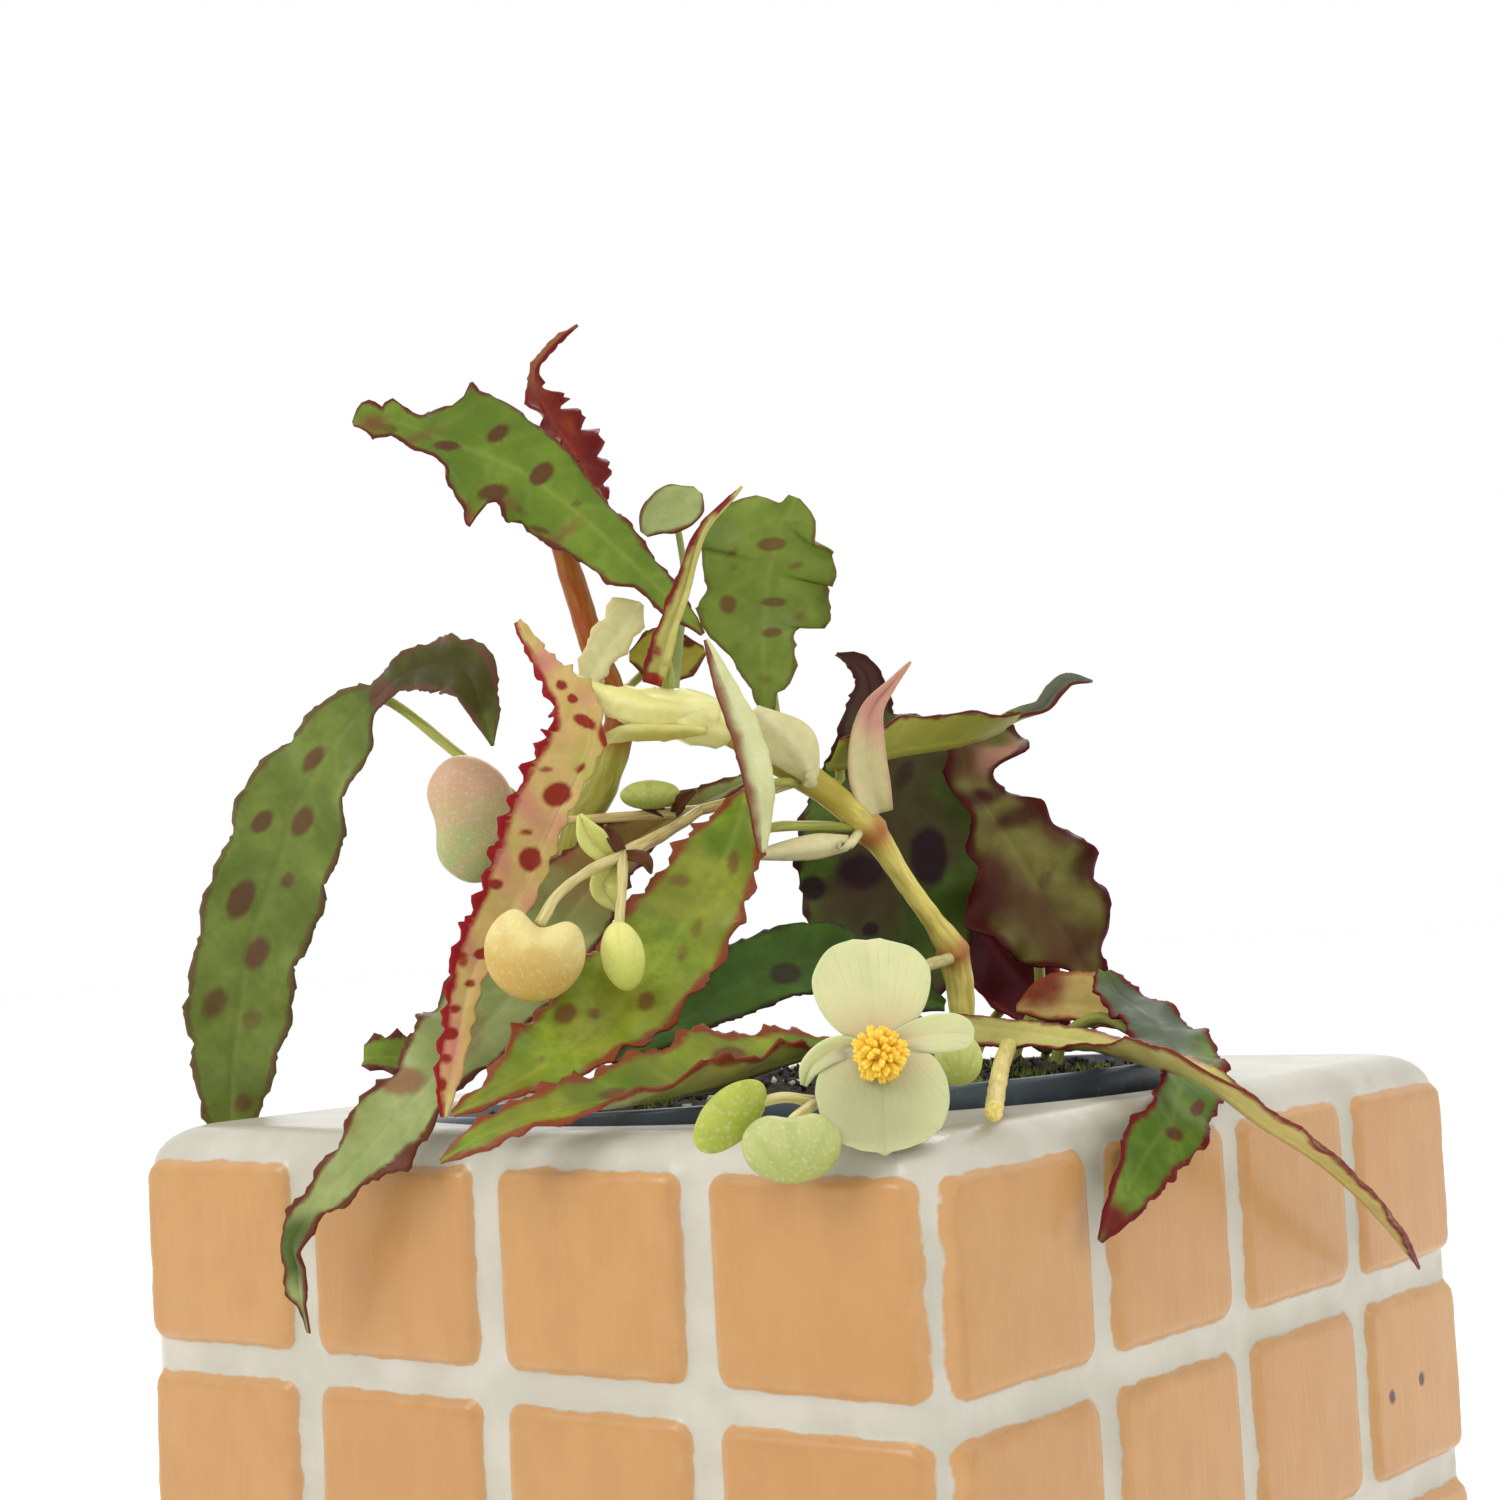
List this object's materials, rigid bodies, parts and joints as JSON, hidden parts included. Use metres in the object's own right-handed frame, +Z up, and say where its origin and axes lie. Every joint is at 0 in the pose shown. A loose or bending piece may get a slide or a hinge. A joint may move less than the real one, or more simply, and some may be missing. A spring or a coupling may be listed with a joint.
{
  "type": "potted amphioxus begonia",
  "caption": "Small spotted-leaf begonia in a round plastic nursery pot, standing in a square cover pot with a glazed tile relief.",
  "frame": {"origin": "centre of the ceramic pot's base", "axes": "+Z up; the ceramic pot's sides face X and Y, and its -Y and +X sides are the ones in the picture"},
  "size_m": [0.1139, 0.1012, 0.1632],
  "materials": {
    "glaze": "gloss",
    "nursery_plastic": "satin",
    "soil": "matte",
    "stem": "satin",
    "leaf_green": "satin",
    "leaf_dark": "satin",
    "leaf_pale": "satin",
    "stipule": "satin",
    "bud": "satin",
    "tepal": "satin",
    "stamen": "matte"
  },
  "bodies": {
    "root": {"pot_ceramic": "glaze", "cane_main": "stem", "cane_second": "stem", "young_shoot": "stem", "leaf_top": "leaf_green", "leaf_top_back": "leaf_dark", "leaf_left": "leaf_green", "leaf_right_top": "leaf_green", "bract_pale": "stipule", "leaf_upright": "leaf_pale", "leaf_cream": "leaf_pale", "leaf_front": "leaf_green", "leaf_over_left": "leaf_green", "leaf_rim_front": "leaf_green", "leaf_low_dark": "leaf_dark", "leaf_dark_back": "leaf_dark", "leaf_olive_back": "leaf_dark", "leaf_red_low": "leaf_dark", "leaf_edge_on": "leaf_pale", "leaf_yellow_low": "leaf_pale", "leaf_low_right": "leaf_dark", "leaf_long_right": "leaf_pale", "leaf_hang_right": "leaf_green", "leaf_pale_narrow": "leaf_pale", "stipule_node": "stipule", "stipule_pink": "stipule", "stipule_low": "stipule", "leaf_small_spot": "leaf_green", "stipule_cream": "stipule", "leaf_small_left": "leaf_green", "nursery_pot": "nursery_plastic", "potting_soil": "soil", "bud_left": "bud", "bud_ochre": "bud", "bud_oval": "bud", "bud_olive": "bud", "bud_behind": "bud", "bud_kidney_low": "bud", "bud_oval_low": "bud", "spray_upper": "stem", "spray_lower": "stem", "flower_tepals": "tepal", "flower_stamens": "stamen", "petiole_stub": "stem"}
  },
  "joints": []
}
